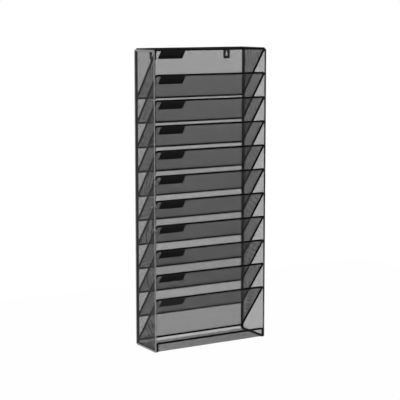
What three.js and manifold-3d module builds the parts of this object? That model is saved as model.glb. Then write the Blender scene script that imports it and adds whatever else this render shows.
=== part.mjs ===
// Wall-hung chart rack of black steel: a bent wire frame, mesh sides with folded hems, eleven sloped
// mesh pockets with label plates, a mesh tray behind a lip wire and two keyhole plates for the wall.
// Millimetres, +Z up. The front faces -Y, and the origin is on the floor under the middle of the rack.
import * as THREE from 'three';
import { mergeVertices } from 'three/addons/utils/BufferGeometryUtils.js';
import Module from 'manifold-3d';

// Driving dimensions: the whole rack
const WIDTH = 340;             // over the side hems
const DEPTH = 112;             // from the front of the wires to the back of the hanger plates
const WIRE = 5;                // diameter of every wire
const BEND_INSIDE = 3.5;       // inside radius of every wire bend
const WELD_GAP = 0.3;          // clearance left between pieces that are welded together

// Driving dimensions: pockets
const POCKET_COUNT = 11;
const POCKET_PITCH = 64.7;     // from one front rail to the next
const POCKET_DROP = 128;       // from a pocket's front rail down to its rear rail
const LAST_RAIL_HEIGHT = 12.5; // axis of the lowest rear rail over the floor

// Driving dimensions: tray
const LIP_HEIGHT = 24;         // axis of the lip wire over the floor
const TRAY_BEND = 2.4;         // radius of the tray mesh where it turns up at the back, at mid thickness

// Driving dimensions: mesh and side hems
const MESH_THICK = 0.8;
const MESH_SELVAGE = 4;        // plain margin round the openings of a mesh pane
const MESH_CELL_WIDTH = 92;    // spacing of the diamond openings across a pane
const MESH_CELL_HEIGHT = 60;   // spacing of the diamond openings along a pane
const STRAND_WIDTH = 6;        // metal left between two openings
const HEM_WIDTH = 5;           // how far a hem covers the edge of its mesh side
const HEM_WALL = 0.5;          // thickness of the folded strip
const HEM_CORNER = 4;          // outer corner radius of a hem
const HEM_SETBACK = 1.2;       // from the foremost and rearmost points of the rack to the hem
const HEM_TOP_SETBACK = 3;     // from the top of the rack down to the hem

// Driving dimensions: label plates and hanger plates
const PLATE_WIDTH = 72;
const PLATE_HEIGHT = 26;
const PLATE_THICK = 1;
const PLATE_INSET = 20;        // from the left side of the rack to the plate
const PLATE_CORNER = 2;
const HANGER_WIDTH = 20;
const HANGER_HEIGHT = 32;
const HANGER_THICK = 1.2;
const HANGER_INSET = 56;       // from the side of the rack to the middle of the hanger plate
const HANGER_CORNER = 4;
const KEYHOLE_HEAD = 8;        // diameter that takes the screw head
const KEYHOLE_NECK = 4;        // width that takes the screw shank
const KEYHOLE_DROP = 20.5;     // from the top of the plate to the middle of the head hole
const KEYHOLE_RISE = 8;        // from the middle of the head hole up to the seat of the shank

// Facets
const WIRE_SIDES = 8;
const BEND_STEPS = 4;
const CORNER_STEPS = 3;
const KEYHOLE_STEPS = 6;

// Finish: black powder coat
const COAT_COLOR = 0x1b1b1d;
const COAT_ROUGHNESS = 0.45;
const COAT_METALNESS = 0.1;

// Derived places that the pieces share
const wireRadius = WIRE / 2;
const bendRadius = BEND_INSIDE + wireRadius;
const seatOffset = wireRadius + WELD_GAP;
const height = LAST_RAIL_HEIGHT + POCKET_DROP + (POCKET_COUNT - 1) * POCKET_PITCH + wireRadius;
const hemThick = MESH_THICK + 2 * WELD_GAP + 2 * HEM_WALL;
const sideAxis = WIDTH / 2 - hemThick - seatOffset;
const frontAxis = -DEPTH / 2 + wireRadius;
const rearAxis = DEPTH / 2 - HANGER_THICK - seatOffset;
const topAxis = height - wireRadius;
const baseAxis = wireRadius;
const paneHalfWidth = sideAxis - seatOffset;
const paneCorner = BEND_INSIDE - WELD_GAP;
const pocketRun = rearAxis - frontAxis;
const slopeAngle = Math.atan2(POCKET_DROP, pocketRun);
const slopeLength = Math.hypot(POCKET_DROP, pocketRun);
const legEnd = (pocketRun - seatOffset - wireRadius * Math.sin(slopeAngle)) / Math.cos(slopeAngle);

const wasm = await Module();
wasm.setup();

const rack = new THREE.Group();

// Piece making

function addPiece(parent, name, geometry) {
  const material = new THREE.MeshStandardMaterial({
    color: COAT_COLOR,
    roughness: COAT_ROUGHNESS,
    metalness: COAT_METALNESS,
  });
  const mesh = new THREE.Mesh(geometry, material);
  mesh.name = name;
  parent.add(mesh);
  return mesh;
}

function toSolid(geometry) {
  const bare = geometry.clone();
  bare.deleteAttribute('normal');
  bare.deleteAttribute('uv');
  const merged = mergeVertices(bare);
  return new wasm.Manifold(new wasm.Mesh({
    numProp: 3,
    vertProperties: new Float32Array(merged.attributes.position.array),
    triVerts: new Uint32Array(merged.index.array),
  }));
}

function toGeometry(solid) {
  const mesh = solid.getMesh();
  const geometry = new THREE.BufferGeometry();
  geometry.setAttribute('position', new THREE.BufferAttribute(mesh.vertProperties, 3));
  geometry.setIndex(new THREE.BufferAttribute(mesh.triVerts, 1));
  geometry.computeVertexNormals();
  return geometry;
}

function plate(shapes, thick, steps = CORNER_STEPS) {
  return new THREE.ExtrudeGeometry(shapes, { depth: thick, bevelEnabled: false, curveSegments: steps });
}

// A rectangle whose lower and upper corners have their own radii. A radius of 0 leaves a square corner.
function rectangle(left, bottom, right, top, lowerRadius, upperRadius) {
  const shape = new THREE.Shape();
  shape.moveTo(left, bottom + lowerRadius);
  roundCorner(shape, left + lowerRadius, bottom + lowerRadius, lowerRadius, Math.PI);
  shape.lineTo(right - lowerRadius, bottom);
  roundCorner(shape, right - lowerRadius, bottom + lowerRadius, lowerRadius, 1.5 * Math.PI);
  shape.lineTo(right, top - upperRadius);
  roundCorner(shape, right - upperRadius, top - upperRadius, upperRadius, 0);
  shape.lineTo(left + upperRadius, top);
  roundCorner(shape, left + upperRadius, top - upperRadius, upperRadius, Math.PI / 2);
  shape.closePath();
  return shape;
}

function roundCorner(shape, x, y, radius, startAngle) {
  if (radius > 0) {
    shape.absarc(x, y, radius, startAngle, startAngle + Math.PI / 2, false);
  }
}

// Wires

// The centre line of a wire: straight runs between the given corners, with a round bend at each inner one.
class BentWire extends THREE.Curve {
  constructor(corners) {
    super();
    const last = corners.length - 1;
    const directions = [];
    for (let i = 0; i < last; i += 1) {
      directions.push(corners[i + 1].clone().sub(corners[i]).normalize());
    }
    this.stations = [{ point: corners[0], tangent: directions[0] }];
    for (let i = 1; i < last; i += 1) {
      this.addBend(corners[i], directions[i - 1], directions[i]);
    }
    this.stations.push({ point: corners[last], tangent: directions[last - 1] });
  }

  addBend(corner, incoming, outgoing) {
    const angle = incoming.angleTo(outgoing);
    const inward = outgoing.clone().addScaledVector(incoming, -incoming.dot(outgoing)).normalize();
    const start = corner.clone().addScaledVector(incoming, -bendRadius * Math.tan(angle / 2));
    const centre = start.clone().addScaledVector(inward, bendRadius);
    for (let step = 0; step <= BEND_STEPS; step += 1) {
      const turn = angle * step / BEND_STEPS;
      const point = centre.clone();
      point.addScaledVector(inward, -bendRadius * Math.cos(turn));
      point.addScaledVector(incoming, bendRadius * Math.sin(turn));
      const tangent = incoming.clone().multiplyScalar(Math.cos(turn));
      tangent.addScaledVector(inward, Math.sin(turn));
      this.stations.push({ point, tangent });
    }
  }

  station(u) {
    return this.stations[Math.round(u * (this.stations.length - 1))];
  }

  getPointAt(u) {
    return this.station(u).point.clone();
  }

  getTangentAt(u) {
    return this.station(u).tangent.clone();
  }
}

function roundSection() {
  const points = [];
  for (let side = 0; side < WIRE_SIDES; side += 1) {
    const angle = 2 * Math.PI * side / WIRE_SIDES;
    points.push(new THREE.Vector2(wireRadius * Math.cos(angle), wireRadius * Math.sin(angle)));
  }
  return new THREE.Shape(points);
}

function wire(corners) {
  const path = new BentWire(corners.map(([x, y, z]) => new THREE.Vector3(x, y, z)));
  return new THREE.ExtrudeGeometry(roundSection(), { steps: path.stations.length - 1, extrudePath: path });
}

// Mesh panes

// The solid that cuts a window's diamond openings, with its underside on z = 0. The rows are staggered from
// the middle of the window and end at its edges, and an opening reaches into it by a strand's width or more.
function diamondCuts(left, bottom, right, top, thick) {
  const halfWidth = MESH_CELL_WIDTH / 2;
  const halfHeight = MESH_CELL_HEIGHT / 2;
  const acrossSides = 2 * halfWidth * halfHeight / Math.hypot(halfWidth, halfHeight);
  const open = 1 - STRAND_WIDTH / acrossSides;
  const middle = new THREE.Vector2((left + right) / 2, (bottom + top) / 2);
  const columns = Math.floor((right - middle.x - STRAND_WIDTH) / halfWidth + open);
  const rows = Math.floor((top - middle.y - STRAND_WIDTH) / halfHeight + open);
  const openings = [];
  for (let row = -rows; row <= rows; row += 1) {
    for (let column = -columns; column <= columns; column += 1) {
      const staggered = (row + column) % 2 === 0;
      if (staggered) {
        openings.push(new THREE.Shape([[-1, 0], [0, -1], [1, 0], [0, 1]].map(([i, j]) => new THREE.Vector2(
          middle.x + (column + open * i) * halfWidth,
          middle.y + (row + open * j) * halfHeight,
        ))));
      }
    }
  }
  const window = plate(rectangle(left, bottom, right, top, 0, 0), thick);
  return toSolid(plate(openings, thick)).intersect(toSolid(window));
}

// A flat pane of mesh with its mid plane on z = 0, open inside the window
function meshPane(outline, left, bottom, right, top) {
  const sheet = toSolid(plate(outline, MESH_THICK)).translate([0, 0, -MESH_THICK / 2]);
  const cuts = diamondCuts(left, bottom, right, top, 2 * MESH_THICK).translate([0, 0, -MESH_THICK]);
  return toGeometry(sheet.subtract(cuts));
}

// Frame: the long bent wire, then the ring that closes the top

function addFrame() {
  const postTop = topAxis - seatOffset;
  const half = [
    [sideAxis, rearAxis, postTop],
    [sideAxis, rearAxis, baseAxis],
    [sideAxis, frontAxis, baseAxis],
    [sideAxis, frontAxis, LIP_HEIGHT],
  ];
  const otherHalf = half.map(([x, y, z]) => [-x, y, z]).reverse();
  addPiece(rack, 'frame_wire', wire([...half, ...otherHalf]));

  // The ring's two ends meet in the middle of its rear rail
  addPiece(rack, 'top_ring', wire([
    [WELD_GAP / 2, rearAxis, topAxis],
    [sideAxis, rearAxis, topAxis],
    [sideAxis, frontAxis, topAxis],
    [-sideAxis, frontAxis, topAxis],
    [-sideAxis, rearAxis, topAxis],
    [-WELD_GAP / 2, rearAxis, topAxis],
  ]));
}

// Sides: a mesh pane held in a hem folded round its four edges

const uprightBasis = new THREE.Matrix4().makeBasis(
  new THREE.Vector3(0, 1, 0),
  new THREE.Vector3(0, 0, 1),
  new THREE.Vector3(1, 0, 0),
);

function hemOutline(inset, corner) {
  const halfDepth = DEPTH / 2 - HEM_SETBACK - inset;
  return rectangle(-halfDepth, inset, halfDepth, height - HEM_TOP_SETBACK - inset, corner, corner);
}

function sideHem() {
  const strip = hemOutline(0, HEM_CORNER);
  strip.holes.push(hemOutline(HEM_WIDTH, 0));
  const slot = plate(hemOutline(HEM_WALL, HEM_CORNER - HEM_WALL), hemThick - 2 * HEM_WALL);
  slot.translate(0, 0, HEM_WALL);
  return toGeometry(toSolid(plate(strip, hemThick)).subtract(toSolid(slot)));
}

function sideMesh() {
  const edge = HEM_WALL + WELD_GAP;
  const window = HEM_WIDTH + MESH_SELVAGE;
  const halfDepth = DEPTH / 2 - HEM_SETBACK - window;
  const top = height - HEM_TOP_SETBACK - window;
  const geometry = meshPane(hemOutline(edge, HEM_CORNER - edge), -halfDepth, window, halfDepth, top);
  geometry.translate(0, 0, hemThick / 2);
  return geometry;
}

function addSide(name, outerFace) {
  const side = new THREE.Group();
  side.quaternion.setFromRotationMatrix(uprightBasis);
  side.position.x = outerFace;
  addPiece(side, `side_hem_${name}`, sideHem());
  addPiece(side, `side_mesh_${name}`, sideMesh());
  rack.add(side);
}

// Pockets: each is made flat, with its front rail on X and its mesh running along +Y, and then tilted back

function pocketMesh() {
  const top = seatOffset;
  const foot = slopeLength - seatOffset;
  const halfWindow = paneHalfWidth - MESH_SELVAGE;
  const outline = rectangle(-paneHalfWidth, top, paneHalfWidth, foot, paneCorner, 0);
  return meshPane(outline, -halfWindow, top + MESH_SELVAGE, halfWindow, foot - MESH_SELVAGE);
}

function labelPlate() {
  const left = -WIDTH / 2 + PLATE_INSET;
  const right = left + PLATE_WIDTH;
  const foot = seatOffset + PLATE_HEIGHT;
  const geometry = plate(rectangle(left, seatOffset, right, foot, PLATE_CORNER, PLATE_CORNER), PLATE_THICK);
  geometry.translate(0, 0, -MESH_THICK / 2 - WELD_GAP - PLATE_THICK);
  return geometry;
}

function addPocketWires(pocket, index, label) {
  if (index > 0) {
    addPiece(pocket, `pocket_wire_${label}`, wire([
      [-sideAxis, legEnd, 0],
      [-sideAxis, 0, 0],
      [sideAxis, 0, 0],
      [sideAxis, legEnd, 0],
    ]));
    return;
  }
  // The front rail of the top pocket is the top ring, so only its two legs are separate wires
  const legStart = (seatOffset + wireRadius * Math.cos(slopeAngle)) / Math.sin(slopeAngle);
  addPiece(pocket, 'top_pocket_leg_left', wire([[-sideAxis, legStart, 0], [-sideAxis, legEnd, 0]]));
  addPiece(pocket, 'top_pocket_leg_right', wire([[sideAxis, legStart, 0], [sideAxis, legEnd, 0]]));
}

function addPocket(index) {
  const label = String(index).padStart(2, '0');
  const pocket = new THREE.Group();
  pocket.position.set(0, frontAxis, topAxis - index * POCKET_PITCH);
  pocket.rotation.x = -slopeAngle;
  addPocketWires(pocket, index, label);
  addPiece(pocket, `pocket_mesh_${label}`, pocketMesh());
  addPiece(pocket, `label_plate_${label}`, labelPlate());
  const railEnds = [[-paneHalfWidth, slopeLength, 0], [paneHalfWidth, slopeLength, 0]];
  addPiece(pocket, `rear_rail_${label}`, wire(railEnds));
  rack.add(pocket);
}

// Tray: one mesh sheet between the base rails, bent up at the back to meet the last rear rail

function trayProfile(backTop) {
  const half = MESH_THICK / 2;
  const bendCentre = rearAxis - TRAY_BEND;
  const centreHeight = baseAxis + TRAY_BEND;
  const profile = new THREE.Shape();
  profile.moveTo(frontAxis, baseAxis - half);
  profile.absarc(bendCentre, centreHeight, TRAY_BEND + half, 1.5 * Math.PI, 2 * Math.PI, false);
  profile.lineTo(rearAxis + half, backTop);
  profile.lineTo(rearAxis - half, backTop);
  profile.absarc(bendCentre, centreHeight, TRAY_BEND - half, 2 * Math.PI, 1.5 * Math.PI, true);
  profile.lineTo(frontAxis, baseAxis + half);
  profile.closePath();
  return profile;
}

function addTray() {
  const backTop = LAST_RAIL_HEIGHT - seatOffset;
  const halfWindow = paneHalfWidth - MESH_SELVAGE;
  const windowFront = frontAxis + MESH_SELVAGE;
  const windowBack = rearAxis - TRAY_BEND - MESH_SELVAGE;
  const cut = 2 * TRAY_BEND;

  const sheet = plate(trayProfile(backTop), 2 * paneHalfWidth);
  sheet.translate(0, 0, -paneHalfWidth);
  sheet.applyMatrix4(uprightBasis);
  const cuts = diamondCuts(-halfWindow, windowFront, halfWindow, windowBack, cut);
  const tray = toSolid(sheet).subtract(cuts.translate([0, 0, baseAxis - cut / 2]));
  addPiece(rack, 'tray_mesh', toGeometry(tray));
}

// Hanger plates: lapped behind the rear rail of the top ring, each with a keyhole for a wall screw

function hangerPlate() {
  const halfWidth = HANGER_WIDTH / 2;
  const outline = rectangle(-halfWidth, -HANGER_HEIGHT, halfWidth, 0, HANGER_CORNER, 0);
  const headRadius = KEYHOLE_HEAD / 2;
  const neckRadius = KEYHOLE_NECK / 2;
  const neckAngle = Math.acos(neckRadius / headRadius);
  const keyhole = new THREE.Path();
  keyhole.absarc(0, -KEYHOLE_DROP, headRadius, Math.PI - neckAngle, 2 * Math.PI + neckAngle, false);
  keyhole.absarc(0, -KEYHOLE_DROP + KEYHOLE_RISE, neckRadius, 0, Math.PI, false);
  keyhole.closePath();
  outline.holes.push(keyhole);
  const geometry = plate(outline, HANGER_THICK, KEYHOLE_STEPS);
  geometry.rotateX(Math.PI / 2);
  return geometry;
}

function addHanger(name, x) {
  const hanger = addPiece(rack, `hanger_plate_${name}`, hangerPlate());
  hanger.position.set(x, DEPTH / 2, height);
}

// The rack, from the frame outwards

addFrame();
addSide('left', -WIDTH / 2);
addSide('right', WIDTH / 2 - hemThick);
for (let index = 0; index < POCKET_COUNT; index += 1) {
  addPocket(index);
}
addTray();
addHanger('left', -WIDTH / 2 + HANGER_INSET);
addHanger('right', WIDTH / 2 - HANGER_INSET);

export default rack;
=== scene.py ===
import math

import bmesh
import bpy
from mathutils import Matrix, Vector


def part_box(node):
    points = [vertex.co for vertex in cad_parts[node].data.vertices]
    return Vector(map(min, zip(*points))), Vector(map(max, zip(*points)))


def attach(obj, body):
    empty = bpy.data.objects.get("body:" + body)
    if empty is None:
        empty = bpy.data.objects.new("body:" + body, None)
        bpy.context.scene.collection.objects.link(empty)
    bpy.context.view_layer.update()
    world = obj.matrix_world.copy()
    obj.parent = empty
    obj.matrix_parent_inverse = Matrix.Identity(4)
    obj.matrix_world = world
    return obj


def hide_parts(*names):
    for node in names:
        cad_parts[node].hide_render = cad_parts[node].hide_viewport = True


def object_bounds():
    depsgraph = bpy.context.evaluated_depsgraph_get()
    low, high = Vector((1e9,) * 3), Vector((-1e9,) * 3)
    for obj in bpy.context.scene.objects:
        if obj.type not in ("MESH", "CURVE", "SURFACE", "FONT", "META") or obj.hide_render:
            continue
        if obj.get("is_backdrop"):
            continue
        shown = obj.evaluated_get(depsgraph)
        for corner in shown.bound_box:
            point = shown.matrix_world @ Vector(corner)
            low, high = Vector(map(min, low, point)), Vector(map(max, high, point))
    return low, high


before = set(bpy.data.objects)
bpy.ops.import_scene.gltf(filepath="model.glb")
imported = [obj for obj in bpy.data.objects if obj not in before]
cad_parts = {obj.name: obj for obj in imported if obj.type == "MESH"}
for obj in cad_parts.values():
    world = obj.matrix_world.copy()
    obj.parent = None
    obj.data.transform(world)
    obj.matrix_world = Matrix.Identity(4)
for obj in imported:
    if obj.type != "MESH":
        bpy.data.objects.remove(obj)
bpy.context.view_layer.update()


# Frame wire: one steel rod, 5.5 mm thick with its coat, bent cold into both rear posts, the base rails and
# the front of the tray, tight at the front and wider under the posts. It is powder coated black after
# welding, so the coat is one skin with a faint orange peel.
WIRE_RADIUS = 0.00275
WIRE_SIDES = 16
WIRE_BEND = 0.0035
POST_BEND = 0.006
BEND_STEPS = 8
LIP_WIRE_HEIGHT = 0.024
WELD_SINK = 0.0012
CLOUD_SCALE = 38
CLOUD_DETAIL = 6
TONE_RANGE = (0.32, 0.7)
GLOSS_RANGE = (0.3, 0.7)
GLOSS_SPREAD = 0.06
PEEL_DETAIL = 3
PEEL_STRENGTH = 0.3
PEEL_DEPTH = 0.00008

frame_low, frame_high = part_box("frame_wire")
side_axis = frame_high.x - WIRE_RADIUS
front_axis = frame_low.y + WIRE_RADIUS
rear_axis = frame_high.y - WIRE_RADIUS
base_axis = frame_low.z + WIRE_RADIUS


def powder_coat(name, dark, light, roughness, specular, grain):
    """A baked powder coat: cloudy in tone and gloss, and pebbled like orange peel."""
    material = bpy.data.materials.new(name)
    material.use_nodes = True
    nodes, links = material.node_tree.nodes, material.node_tree.links
    shader = nodes["Principled BSDF"]
    shader.inputs["Specular IOR Level"].default_value = specular
    place = nodes.new("ShaderNodeTexCoord")

    clouds = nodes.new("ShaderNodeTexNoise")
    clouds.inputs["Scale"].default_value = CLOUD_SCALE
    clouds.inputs["Detail"].default_value = CLOUD_DETAIL
    links.new(place.outputs["Object"], clouds.inputs["Vector"])
    tone = nodes.new("ShaderNodeValToRGB")
    tone.color_ramp.elements[0].position = TONE_RANGE[0]
    tone.color_ramp.elements[0].color = (*dark, 1)
    tone.color_ramp.elements[1].position = TONE_RANGE[1]
    tone.color_ramp.elements[1].color = (*light, 1)
    links.new(clouds.outputs["Fac"], tone.inputs["Fac"])
    links.new(tone.outputs["Color"], shader.inputs["Base Color"])

    gloss = nodes.new("ShaderNodeMapRange")
    gloss.inputs["From Min"].default_value = GLOSS_RANGE[0]
    gloss.inputs["From Max"].default_value = GLOSS_RANGE[1]
    gloss.inputs["To Min"].default_value = roughness - GLOSS_SPREAD
    gloss.inputs["To Max"].default_value = roughness + GLOSS_SPREAD
    links.new(clouds.outputs["Fac"], gloss.inputs["Value"])
    links.new(gloss.outputs["Result"], shader.inputs["Roughness"])

    pebbles = nodes.new("ShaderNodeTexNoise")
    pebbles.inputs["Scale"].default_value = grain
    pebbles.inputs["Detail"].default_value = PEEL_DETAIL
    links.new(place.outputs["Object"], pebbles.inputs["Vector"])
    peel = nodes.new("ShaderNodeBump")
    peel.inputs["Strength"].default_value = PEEL_STRENGTH
    peel.inputs["Distance"].default_value = PEEL_DEPTH
    links.new(pebbles.outputs["Fac"], peel.inputs["Height"])
    links.new(peel.outputs["Normal"], shader.inputs["Normal"])
    return material


def verts_of(geom):
    """The vertices among what a bmesh operator gives back."""
    return [g for g in geom if isinstance(g, bmesh.types.BMVert)]


def edges_of(geom):
    """The edges among what a bmesh operator gives back."""
    return [g for g in geom if isinstance(g, bmesh.types.BMEdge)]


def bent_wire(corners, bends=None):
    """A round rod through the corners, bent tight at the inner ones, or to the radii given in bends."""
    points = [Vector(corner) for corner in corners]
    aims = [(b - a).normalized() for a, b in zip(points, points[1:])]
    radii = bends or [WIRE_BEND] * (len(points) - 2)
    setbacks = [0.0]
    for before, after, radius in zip(aims, aims[1:], radii):
        setbacks.append(radius * math.tan(before.angle(after) / 2))
    setbacks.append(0.0)

    bm = bmesh.new()
    square = Matrix.Translation(points[0]) @ aims[0].to_track_quat("Z", "Y").to_matrix().to_4x4()
    bmesh.ops.create_circle(bm, segments=WIRE_SIDES, radius=WIRE_RADIUS, matrix=square)
    first_rim = bm.edges[:]
    rim = first_rim
    for i, aim in enumerate(aims):
        length = (points[i + 1] - points[i]).length - setbacks[i] - setbacks[i + 1]
        run = bmesh.ops.extrude_edge_only(bm, edges=rim)["geom"]
        fresh = verts_of(run)
        bmesh.ops.translate(bm, verts=fresh, vec=aim * length)
        rim = [edge for edge in edges_of(run) if all(vert in fresh for vert in edge.verts)]
        if i + 1 < len(aims):
            axis = aim.cross(aims[i + 1]).normalized()
            middle = points[i + 1] - aim * setbacks[i + 1] + axis.cross(aim) * radii[i]
            bend = bmesh.ops.spin(
                bm, geom=rim + fresh, cent=middle, axis=axis, angle=aim.angle(aims[i + 1]),
                steps=BEND_STEPS, use_merge=False, use_duplicate=False,
            )["geom_last"]
            rim = edges_of(bend)
    for face in bm.faces:
        face.smooth = True
    for end in (first_rim, rim):
        bmesh.ops.edgeloop_fill(bm, edges=end)
        for edge in end:
            edge.smooth = False
    bmesh.ops.recalc_face_normals(bm, faces=bm.faces)
    return bm


def place_piece(name, bm, material, slot, *nodes):
    """Makes the piece from its bmesh, on the rack's one body, for the CAD nodes that it stands for."""
    mesh = bpy.data.meshes.new(name)
    bm.to_mesh(mesh)
    bm.free()
    mesh.materials.append(material)
    piece = bpy.data.objects.new(name, mesh)
    bpy.context.collection.objects.link(piece)
    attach(piece, "root")
    if nodes:
        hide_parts(*nodes)


wire_coat = powder_coat(
    "wire_coat", dark=(0.003, 0.003, 0.0032), light=(0.0055, 0.0055, 0.0058),
    roughness=0.42, specular=0.1, grain=1300,
)
right_half = [
    (side_axis, rear_axis, frame_high.z + WELD_SINK),
    (side_axis, rear_axis, base_axis),
    (side_axis, front_axis, base_axis),
    (side_axis, front_axis, LIP_WIRE_HEIGHT),
]
left_half = [(-x, y, z) for x, y, z in reversed(right_half)]
frame_bends = [POST_BEND, WIRE_BEND, WIRE_BEND, WIRE_BEND, WIRE_BEND, POST_BEND]
frame_rod = bent_wire(right_half + left_half, frame_bends)
place_piece("frame_rod", frame_rod, wire_coat, "wire_coat", "frame_wire")


# Top ring: a rod bent into a rectangle that lies on the two posts. It carries the front of the top pocket
# and the hanger plates, and its ends are butt welded in the middle of the rear rail.
RING_HALF_GAP = 0.0001

top_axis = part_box("top_ring")[1].z - WIRE_RADIUS
ring_corners = [
    (RING_HALF_GAP, rear_axis, top_axis),
    (side_axis, rear_axis, top_axis),
    (side_axis, front_axis, top_axis),
    (-side_axis, front_axis, top_axis),
    (-side_axis, rear_axis, top_axis),
    (-RING_HALF_GAP, rear_axis, top_axis),
]
place_piece("top_ring_rod", bent_wire(ring_corners), wire_coat, "wire_coat", "top_ring")


# Pocket wires: each is a rod bent into a wide U, with its rail across the front and its two legs sloping
# back to the posts. The top pocket has the ring for its rail, so it has two straight legs. The rear rails
# are straight rods between the posts, at the foot of the legs.
POCKET_COUNT = 11
POCKET_PITCH = 0.0647
POCKET_DROP = 0.128

pocket_run = rear_axis - front_axis
slope = math.atan2(POCKET_DROP, pocket_run)
slope_length = math.hypot(POCKET_DROP, pocket_run)
leg_end = (pocket_run - WIRE_RADIUS - WIRE_RADIUS * math.sin(slope)) / math.cos(slope) + WELD_SINK
rail_end = side_axis - WIRE_RADIUS + WELD_SINK / 2


def pocket_place(index):
    """From a pocket lying flat, its front rail on X and its mesh along +Y, to its place in the rack."""
    lift = Matrix.Translation((0, front_axis, top_axis - index * POCKET_PITCH))
    return lift @ Matrix.Rotation(-slope, 4, "X")


for index in range(POCKET_COUNT):
    place = pocket_place(index)
    if index == 0:
        for hand, x in (("left", -side_axis), ("right", side_axis)):
            leg = bent_wire([place @ Vector((x, WIRE_RADIUS, 0)), place @ Vector((x, leg_end, 0))])
            name = f"top_pocket_leg_{hand}"
            place_piece(f"{name}_rod", leg, wire_coat, "wire_coat", name)
    else:
        corners = [
            (-side_axis, leg_end, 0),
            (-side_axis, 0, 0),
            (side_axis, 0, 0),
            (side_axis, leg_end, 0),
        ]
        rod = bent_wire([place @ Vector(corner) for corner in corners])
        place_piece(f"pocket_rod_{index:02d}", rod, wire_coat, "wire_coat", f"pocket_wire_{index:02d}")
    rail = bent_wire([place @ Vector((x, slope_length, 0)) for x in (-rail_end, rail_end)])
    place_piece(f"rear_rod_{index:02d}", rail, wire_coat, "wire_coat", f"rear_rail_{index:02d}")


# Weld beads: a small fillet of weld where each leg and rear rail meets its post, where the ring lies on
# the posts and on the top legs, and where its own ends meet. They are coated with the rest.
BEAD_RADIUS = 0.0021
BEAD_DETAIL = 2
LEG_BEAD = (0.9, 0.8, 1.25)
RAIL_BEAD = (0.6, 1.25, 1.25)
POST_BEAD = (1.1, 1.1, 0.7)
FRONT_BEAD = (0.9, 1.1, 0.7)
RING_BEAD = (0.5, 1.24, 1.24)
POST_BEAD_INSET = 0.001
FRONT_BEAD_INSET = 0.0012

ring_under = top_axis - WIRE_RADIUS
bead_places = []
for index in range(POCKET_COUNT):
    foot = pocket_place(index) @ Vector((0, leg_end, 0))
    rail = pocket_place(index) @ Vector((0, slope_length, 0))
    for hand in (-1, 1):
        bead_places.append(((hand * side_axis, foot.y, foot.z), LEG_BEAD))
        bead_places.append(((hand * rail_end, rail.y, rail.z), RAIL_BEAD))
for hand in (-1, 1):
    post_spot = (hand * (side_axis - POST_BEAD_INSET), rear_axis - POST_BEAD_INSET, ring_under)
    front_spot = (hand * side_axis, front_axis + FRONT_BEAD_INSET, ring_under)
    bead_places.append((post_spot, POST_BEAD))
    bead_places.append((front_spot, FRONT_BEAD))
bead_places.append(((0, rear_axis, top_axis), RING_BEAD))

beads = bmesh.new()
for spot, stretch in bead_places:
    shape = Matrix.Translation(spot) @ Matrix.Diagonal((*stretch, 1))
    bmesh.ops.create_icosphere(beads, subdivisions=BEAD_DETAIL, radius=BEAD_RADIUS, matrix=shape)
for face in beads.faces:
    face.smooth = True
place_piece("weld_beads", beads, wire_coat, "wire_coat")


# Pocket meshes: panes of expanded steel sheet, 0.35 mm thick, slit and drawn into diamonds. The panes are
# cut both along and across the roll, so the diamonds stand in one and lie in the next. Each pane is welded
# at its four edges to the rail, the legs and the rear rail of its pocket.
DIAMOND_SHORT = 0.0028
DIAMOND_LONG = 0.0045
POCKET_STRAND = 0.00078
STRAND_THICK = 0.00035
STRAND_LAYER = 0.00002
MESH_LAP = 0.0014


def whole(bm):
    """All that a bmesh holds, for the operators that cut through it."""
    return bm.verts[:] + bm.edges[:] + bm.faces[:]


def mesh_sheet(left, bottom, right, top, strand, upright=True, tilt=0):
    """A flat sheet of strands on z = 0 that cross in diamonds, sheared off along the four sides.

    A tilt turns the strands about their length, as drawing the sheet open does.
    """
    bm = bmesh.new()
    width, height = (DIAMOND_SHORT, DIAMOND_LONG) if upright else (DIAMOND_LONG, DIAMOND_SHORT)
    lean = math.atan2(height, width)
    pitch = width * math.sin(lean)
    middle = Matrix.Translation(((left + right) / 2, (bottom + top) / 2, 0))
    reach = math.hypot(right - left, top - bottom)
    spread = ((right - left) * math.sin(lean) + (top - bottom) * math.cos(lean)) / 2
    count = math.ceil(spread / pitch)
    size = Matrix.Diagonal((reach, strand, STRAND_THICK, 1))
    for hand in (-1, 1):
        turn = Matrix.Rotation(hand * lean, 4, "Z")
        roll = Matrix.Rotation(hand * tilt, 4, "X")
        for row in range(-count, count + 1):
            shift = Matrix.Translation((0, row * pitch, hand * STRAND_LAYER))
            bmesh.ops.create_cube(bm, size=1, matrix=middle @ turn @ shift @ roll @ size)
    shears = (
        ((left, 0, 0), (-1, 0, 0)),
        ((right, 0, 0), (1, 0, 0)),
        ((0, bottom, 0), (0, -1, 0)),
        ((0, top, 0), (0, 1, 0)),
    )
    for edge, outward in shears:
        cut = bmesh.ops.bisect_plane(bm, geom=whole(bm), plane_co=edge, plane_no=outward, clear_outer=True)
        bmesh.ops.holes_fill(bm, edges=edges_of(cut["geom_cut"]))
    return bm


mesh_coat = powder_coat(
    "mesh_coat", dark=(0.012, 0.012, 0.0126), light=(0.019, 0.019, 0.0198),
    roughness=0.48, specular=0.4, grain=2200,
)
half_pane = side_axis - MESH_LAP
pane_foot = slope_length - MESH_LAP
for index in range(POCKET_COUNT):
    pane = mesh_sheet(-half_pane, MESH_LAP, half_pane, pane_foot, POCKET_STRAND, upright=index % 2 == 1)
    bmesh.ops.transform(pane, matrix=pocket_place(index), verts=pane.verts)
    place_piece(f"pocket_net_{index:02d}", pane, mesh_coat, "mesh_coat", f"pocket_mesh_{index:02d}")


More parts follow.
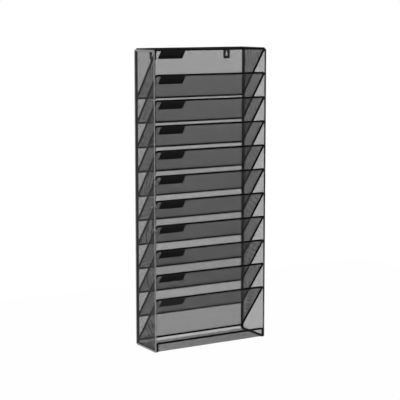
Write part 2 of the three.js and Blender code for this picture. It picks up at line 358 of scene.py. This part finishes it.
# Label plates: blank tabs of 1 mm sheet steel under the left end of each front rail, on the face of the
# mesh. They are spot welded and coated with the rack.
PLATE_WIDTH = 0.072
PLATE_HEIGHT = 0.026
PLATE_THICK = 0.001
PLATE_LEFT = -0.150
PLATE_TOP = 0.0028
PLATE_BACK = -0.0007
PLATE_CORNER = 0.002
PLATE_CORNER_STEPS = 6
PLATE_EDGE = 0.0002
PLATE_EDGE_STEPS = 2
SHARP_TURN = 1.2

plate_coat = powder_coat(
    "plate_coat", dark=(0.003, 0.003, 0.0032), light=(0.0055, 0.0055, 0.0058),
    roughness=0.45, specular=0.12, grain=1500,
)
for index in range(POCKET_COUNT):
    plate = bmesh.new()
    middle = (PLATE_LEFT + PLATE_WIDTH / 2, PLATE_TOP + PLATE_HEIGHT / 2, PLATE_BACK)
    shape = Matrix.Translation(middle) @ Matrix.Diagonal((PLATE_WIDTH, PLATE_HEIGHT, 1, 1))
    bmesh.ops.create_grid(plate, x_segments=1, y_segments=1, size=0.5, matrix=shape)
    bmesh.ops.bevel(
        plate, geom=plate.verts[:], offset=PLATE_CORNER, segments=PLATE_CORNER_STEPS, profile=0.5,
        affect="VERTICES", material=-1,
    )
    front = bmesh.ops.extrude_face_region(plate, geom=plate.faces[:])["geom"]
    bmesh.ops.translate(plate, verts=verts_of(front), vec=(0, 0, -PLATE_THICK))
    bmesh.ops.recalc_face_normals(plate, faces=plate.faces)
    rims = [edge for edge in plate.edges if edge.calc_face_angle(0) > SHARP_TURN]
    bmesh.ops.bevel(
        plate, geom=rims, offset=PLATE_EDGE, segments=PLATE_EDGE_STEPS, profile=0.5,
        affect="EDGES", material=-1,
    )
    bmesh.ops.transform(plate, matrix=pocket_place(index), verts=plate.verts)
    place_piece(f"label_tab_{index:02d}", plate, plate_coat, "plate_coat", f"label_plate_{index:02d}")


# Side meshes: expanded sheet with finer strands, one pane for each side of the rack, from the tray to the
# top. The two panes are mirrored, so their strands tilt opposite ways. Their edges are held in the hem.
SIDE_LAP = 0.0015
SIDE_STRAND = 0.00057
SIDE_TILT = math.radians(10)


def stand_up(x):
    """From a sheet lying on z = 0 to one that stands at x, its width along Y and its height along Z."""
    return Matrix(((0, 0, 1, x), (1, 0, 0, 0), (0, 1, 0, 0), (0, 0, 0, 1)))


for hand, tilt in (("left", SIDE_TILT), ("right", -SIDE_TILT)):
    low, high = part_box(f"side_hem_{hand}")
    left, bottom = low.y + SIDE_LAP, low.z + SIDE_LAP
    right, top = high.y - SIDE_LAP, high.z - SIDE_LAP
    pane = mesh_sheet(left, bottom, right, top, SIDE_STRAND, tilt=tilt)
    bmesh.ops.transform(pane, matrix=stand_up((low.x + high.x) / 2), verts=pane.verts)
    place_piece(f"side_net_{hand}", pane, mesh_coat, "mesh_coat", f"side_mesh_{hand}")


# Side hems: a strip of half millimetre sheet folded over all four edges of a side mesh, so that no cut
# strand is left bare. Its coat is shinier than the wire's and mirrors what is bright around it.
HEM_WIDTH = 0.005
HEM_WALL = 0.0005
HEM_CORNER = 0.0055
HEM_CORNER_STEPS = 6
HEM_FOLD = 0.0007
HEM_FOLD_STEPS = 4
HEM_IOR = 2.7
BROADSIDE = 0.9

hem_coat = powder_coat(
    "hem_coat", dark=(0.010, 0.010, 0.0105), light=(0.015, 0.015, 0.0155),
    roughness=0.26, specular=0.5, grain=1500,
)
hem_coat.node_tree.nodes["Principled BSDF"].inputs["IOR"].default_value = HEM_IOR
for hand in ("left", "right"):
    low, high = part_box(f"side_hem_{hand}")
    hem = bmesh.new()
    middle = Matrix.Translation(((low.y + high.y) / 2, (low.z + high.z) / 2, 0))
    size = Matrix.Diagonal((high.y - low.y, high.z - low.z, 1, 1))
    outline = stand_up(low.x) @ middle @ size
    bmesh.ops.create_grid(hem, x_segments=1, y_segments=1, size=0.5, matrix=outline)
    bmesh.ops.bevel(
        hem, geom=hem.verts[:], offset=HEM_CORNER, segments=HEM_CORNER_STEPS, profile=0.5,
        affect="VERTICES", material=-1,
    )
    far_side = bmesh.ops.extrude_face_region(hem, geom=hem.faces[:], use_keep_orig=True)["geom"]
    bmesh.ops.translate(hem, verts=verts_of(far_side), vec=(high.x - low.x, 0, 0))
    bmesh.ops.recalc_face_normals(hem, faces=hem.faces)
    broad = [face for face in hem.faces if abs(face.normal.x) > BROADSIDE]
    bmesh.ops.inset_region(hem, faces=broad, thickness=HEM_WIDTH, use_even_offset=True)
    bmesh.ops.delete(hem, geom=broad, context="FACES")
    folds = [edge for edge in hem.edges if edge.calc_face_angle(0) > SHARP_TURN]
    bmesh.ops.bevel(
        hem, geom=folds, offset=HEM_FOLD, segments=HEM_FOLD_STEPS, profile=0.5,
        affect="EDGES", material=-1,
    )
    bmesh.ops.solidify(hem, geom=hem.faces[:], thickness=HEM_WALL)
    bmesh.ops.recalc_face_normals(hem, faces=hem.faces)
    place_piece(f"side_fold_{hand}", hem, hem_coat, "hem_coat", f"side_hem_{hand}")


# Tray mesh: one sheet of expanded steel between the base rails, welded along them. Its front edge lies
# open under the lip wire, with a narrow margin left uncut. Its back is folded up to the lowest rear rail.
TRAY_STRAND = 0.00065
TRAY_MARGIN = 0.0012
TRAY_MARGIN_THICK = 0.0005
TRAY_BEND = 0.0024
TRAY_BEND_STEPS = 5
ON_THE_FOLD = 1e-7

back_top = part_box("rear_rail_10")[0].z
arc = TRAY_BEND * math.pi / 2
fold = rear_axis - TRAY_BEND
rear_edge = fold + arc + (back_top - base_axis - TRAY_BEND)

tray = mesh_sheet(-half_pane, front_axis + TRAY_MARGIN / 2, half_pane, rear_edge, TRAY_STRAND)
for step in reversed(range(TRAY_BEND_STEPS)):
    y = fold + arc * (step + 0.5) / TRAY_BEND_STEPS
    bmesh.ops.bisect_plane(tray, geom=whole(tray), plane_co=(0, y, 0), plane_no=(0, 1, 0))
    outside = [vert for vert in tray.verts if vert.co.y - y > ON_THE_FOLD]
    turn = Matrix.Rotation(math.pi / 2 / TRAY_BEND_STEPS, 3, "X")
    bmesh.ops.rotate(tray, verts=outside, cent=(0, y, 0), matrix=turn)
margin = Matrix.Translation((0, front_axis + TRAY_MARGIN / 2, 0))
margin_size = Matrix.Diagonal((2 * half_pane, TRAY_MARGIN, TRAY_MARGIN_THICK, 1))
bmesh.ops.create_cube(tray, size=1, matrix=margin @ margin_size)
bmesh.ops.translate(tray, verts=tray.verts, vec=(0, 0, base_axis))
place_piece("tray_net", tray, mesh_coat, "mesh_coat", "tray_mesh")


# Hanger plates: tabs of 1.2 mm sheet steel lapped behind the rear rail of the ring and welded to it. Each
# has a keyhole, whose wide end drops over a wall screw's head.
HANGER_CORNER = 0.004
HANGER_CORNER_STEPS = 8
KEYHOLE_HEAD = 0.004
KEYHOLE_HEAD_STEPS = 28
KEYHOLE_NECK = 0.002
KEYHOLE_NECK_STEPS = 14
KEYHOLE_DROP = 0.0205
KEYHOLE_RISE = 0.008

for hand in ("left", "right"):
    low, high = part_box(f"hanger_plate_{hand}")
    x, middle_height = (low.x + high.x) / 2, (low.z + high.z) / 2
    hanger = bmesh.new()
    size = Matrix.Diagonal((high.x - low.x, high.z - low.z, 1, 1))
    stand = Matrix.Translation((x, low.y, middle_height)) @ Matrix.Rotation(math.pi / 2, 4, "X")
    bmesh.ops.create_grid(hanger, x_segments=1, y_segments=1, size=0.5, matrix=stand @ size)
    lower = [vert for vert in hanger.verts if vert.co.z < middle_height]
    bmesh.ops.bevel(
        hanger, geom=lower, offset=HANGER_CORNER, segments=HANGER_CORNER_STEPS, profile=0.5,
        affect="VERTICES", material=-1,
    )
    bmesh.ops.delete(hanger, geom=hanger.faces[:], context="FACES_ONLY")
    head = Vector((x, low.y, high.z - KEYHOLE_DROP))
    neck = head + Vector((0, 0, KEYHOLE_RISE))
    flare = math.acos(KEYHOLE_NECK / KEYHOLE_HEAD)
    start = head + Vector((KEYHOLE_HEAD * math.cos(flare), 0, KEYHOLE_HEAD * math.sin(flare)))
    first = bmesh.ops.create_vert(hanger, co=start)["vert"][0]
    round_head = bmesh.ops.spin(
        hanger, geom=[first], cent=head, axis=(0, 1, 0), angle=math.pi + 2 * flare,
        steps=KEYHOLE_HEAD_STEPS, use_merge=False, use_duplicate=False,
    )["geom_last"]
    corner = verts_of(round_head)
    rise = bmesh.ops.extrude_vert_indiv(hanger, verts=corner)["verts"]
    bmesh.ops.translate(hanger, verts=rise, vec=(0, 0, neck.z - corner[0].co.z))
    round_neck = bmesh.ops.spin(
        hanger, geom=rise, cent=neck, axis=(0, 1, 0), angle=math.pi,
        steps=KEYHOLE_NECK_STEPS, use_merge=False, use_duplicate=False,
    )["geom_last"]
    hanger.edges.new((verts_of(round_neck)[0], first))
    bmesh.ops.triangle_fill(hanger, use_beauty=True, edges=hanger.edges[:])
    back = bmesh.ops.extrude_face_region(hanger, geom=hanger.faces[:], use_keep_orig=True)["geom"]
    bmesh.ops.translate(hanger, verts=verts_of(back), vec=(0, high.y - low.y, 0))
    bmesh.ops.recalc_face_normals(hanger, faces=hanger.faces)
    place_piece(f"hanger_tab_{hand}", hanger, plate_coat, "plate_coat", f"hanger_plate_{hand}")


# Stage: a pale floor well below the rack, which hangs on a wall. To the camera it is the same white as the
# backdrop, with a trace of the shadow.
FLOOR_HEIGHT = -0.45
FLOOR_REACH = 2.6
FLOOR_COLOUR = (0.85, 0.85, 0.85, 1)
FLOOR_ROUGHNESS = 0.9
FLOOR_SPECULAR = 0.1
FLOOR_WHITE_SHARE = 0.985

floor_bm = bmesh.new()
drop = Matrix.Translation((0, 0, FLOOR_HEIGHT))
bmesh.ops.create_grid(floor_bm, x_segments=1, y_segments=1, size=FLOOR_REACH, matrix=drop)
floor_mesh = bpy.data.meshes.new("floor")
floor_bm.to_mesh(floor_mesh)
floor_bm.free()
floor = bpy.data.objects.new("floor", floor_mesh)
bpy.context.collection.objects.link(floor)
floor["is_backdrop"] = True


def larger(tree, first, second):
    """A node's output that passes on the larger of two values."""
    node = tree.nodes.new("ShaderNodeMath")
    node.operation = "MAXIMUM"
    tree.links.new(first, node.inputs[0])
    tree.links.new(second, node.inputs[1])
    return node.outputs[0]


floor_paint = bpy.data.materials.new("floor_paint")
floor_paint.use_nodes = True
nodes, links = floor_paint.node_tree.nodes, floor_paint.node_tree.links
matt = nodes["Principled BSDF"]
matt.inputs["Base Color"].default_value = FLOOR_COLOUR
matt.inputs["Roughness"].default_value = FLOOR_ROUGHNESS
matt.inputs["Specular IOR Level"].default_value = FLOOR_SPECULAR
white = nodes.new("ShaderNodeEmission")
white.inputs["Strength"].default_value = 1.0
ray = nodes.new("ShaderNodeLightPath")
seen = larger(floor_paint.node_tree, ray.outputs["Is Camera Ray"], ray.outputs["Is Transmission Ray"])
mirrored = larger(floor_paint.node_tree, seen, ray.outputs["Is Glossy Ray"])
share = nodes.new("ShaderNodeMath")
share.operation = "MULTIPLY"
share.inputs[1].default_value = FLOOR_WHITE_SHARE
links.new(mirrored, share.inputs[0])
blend = nodes.new("ShaderNodeMixShader")
links.new(share.outputs[0], blend.inputs["Fac"])
links.new(matt.outputs[0], blend.inputs[1])
links.new(white.outputs[0], blend.inputs[2])
links.new(blend.outputs[0], nodes["Material Output"].inputs["Surface"])
floor_mesh.materials.append(floor_paint)


# Light: a white studio. The backdrop behind the rack is bright and shows in its shiny faces, the room in
# front is dim, and a large soft key from the left with a weak fill from the right light the coats.
AMBIENT = 0.35
ROOM_GLOSS = 0.05
BACKDROP_FROM = -0.2
BACKDROP_TO = 0.5
KEY_PLACE = (-2.6, -1.5, 2.0)
KEY_SIZE = 1.6
KEY_POWER = 62
FILL_PLACE = (1.8, -2.8, 1.3)
FILL_SIZE = 1.8
FILL_POWER = 22
LAMP_TARGET = Vector((0, 0, 0.4))

world = bpy.data.worlds.new("studio")
world.use_nodes = True
bpy.context.scene.world = world
nodes, links = world.node_tree.nodes, world.node_tree.links
nodes.clear()
ray = nodes.new("ShaderNodeLightPath")
aim = nodes.new("ShaderNodeTexCoord")
split = nodes.new("ShaderNodeSeparateXYZ")
links.new(aim.outputs["Generated"], split.inputs["Vector"])
backdrop = nodes.new("ShaderNodeMapRange")
backdrop.inputs["From Min"].default_value = BACKDROP_FROM
backdrop.inputs["From Max"].default_value = BACKDROP_TO
backdrop.inputs["To Min"].default_value = ROOM_GLOSS
backdrop.inputs["To Max"].default_value = 1.0
links.new(split.outputs["Y"], backdrop.inputs["Value"])
soft = nodes.new("ShaderNodeMix")
soft.data_type = "FLOAT"
soft.inputs["A"].default_value = AMBIENT
links.new(ray.outputs["Is Glossy Ray"], soft.inputs["Factor"])
links.new(backdrop.outputs["Result"], soft.inputs["B"])
level = nodes.new("ShaderNodeMix")
level.data_type = "FLOAT"
level.inputs["B"].default_value = 1.0
seen = larger(world.node_tree, ray.outputs["Is Camera Ray"], ray.outputs["Is Transmission Ray"])
links.new(seen, level.inputs["Factor"])
links.new(soft.outputs["Result"], level.inputs["A"])
sky = nodes.new("ShaderNodeBackground")
sky.inputs["Color"].default_value = (1, 1, 1, 1)
links.new(level.outputs["Result"], sky.inputs["Strength"])
surface = nodes.new("ShaderNodeOutputWorld")
links.new(sky.outputs["Background"], surface.inputs["Surface"])

for name, spot, size, power in (
    ("key_light", KEY_PLACE, KEY_SIZE, KEY_POWER),
    ("fill_light", FILL_PLACE, FILL_SIZE, FILL_POWER),
):
    lamp = bpy.data.lights.new(name, "AREA")
    lamp.size = size
    lamp.energy = power
    light = bpy.data.objects.new(name, lamp)
    light.location = spot
    light.visible_glossy = False
    light.rotation_euler = (LAMP_TARGET - Vector(spot)).to_track_quat("-Z", "Y").to_euler()
    bpy.context.collection.objects.link(light)

bpy.context.scene.view_settings.view_transform = "Standard"


# Camera: the photograph's view, from the front left and a little above the rack, through a long lens. It
# looks down by a few degrees and is shifted by a trace.
CAMERA_LENS = 116.629
CAMERA_SENSOR = 36.0
CAMERA_SHIFT = -0.01
CAMERA_PLACE = (-1.76425, -2.94137, 0.88184)
CAMERA_DOWN = math.radians(8.0637)
CAMERA_TURN = math.radians(-30.9102)

camera_data = bpy.data.cameras.new("camera")
camera_data.sensor_width = CAMERA_SENSOR
camera_data.lens = CAMERA_LENS
camera_data.shift_y = CAMERA_SHIFT
camera = bpy.data.objects.new("camera", camera_data)
camera.location = CAMERA_PLACE
camera.rotation_euler = (math.pi / 2 - CAMERA_DOWN, 0, CAMERA_TURN)
bpy.context.collection.objects.link(camera)
bpy.context.scene.camera = camera


# Size of the rack: the box of the finished model.
low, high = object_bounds()
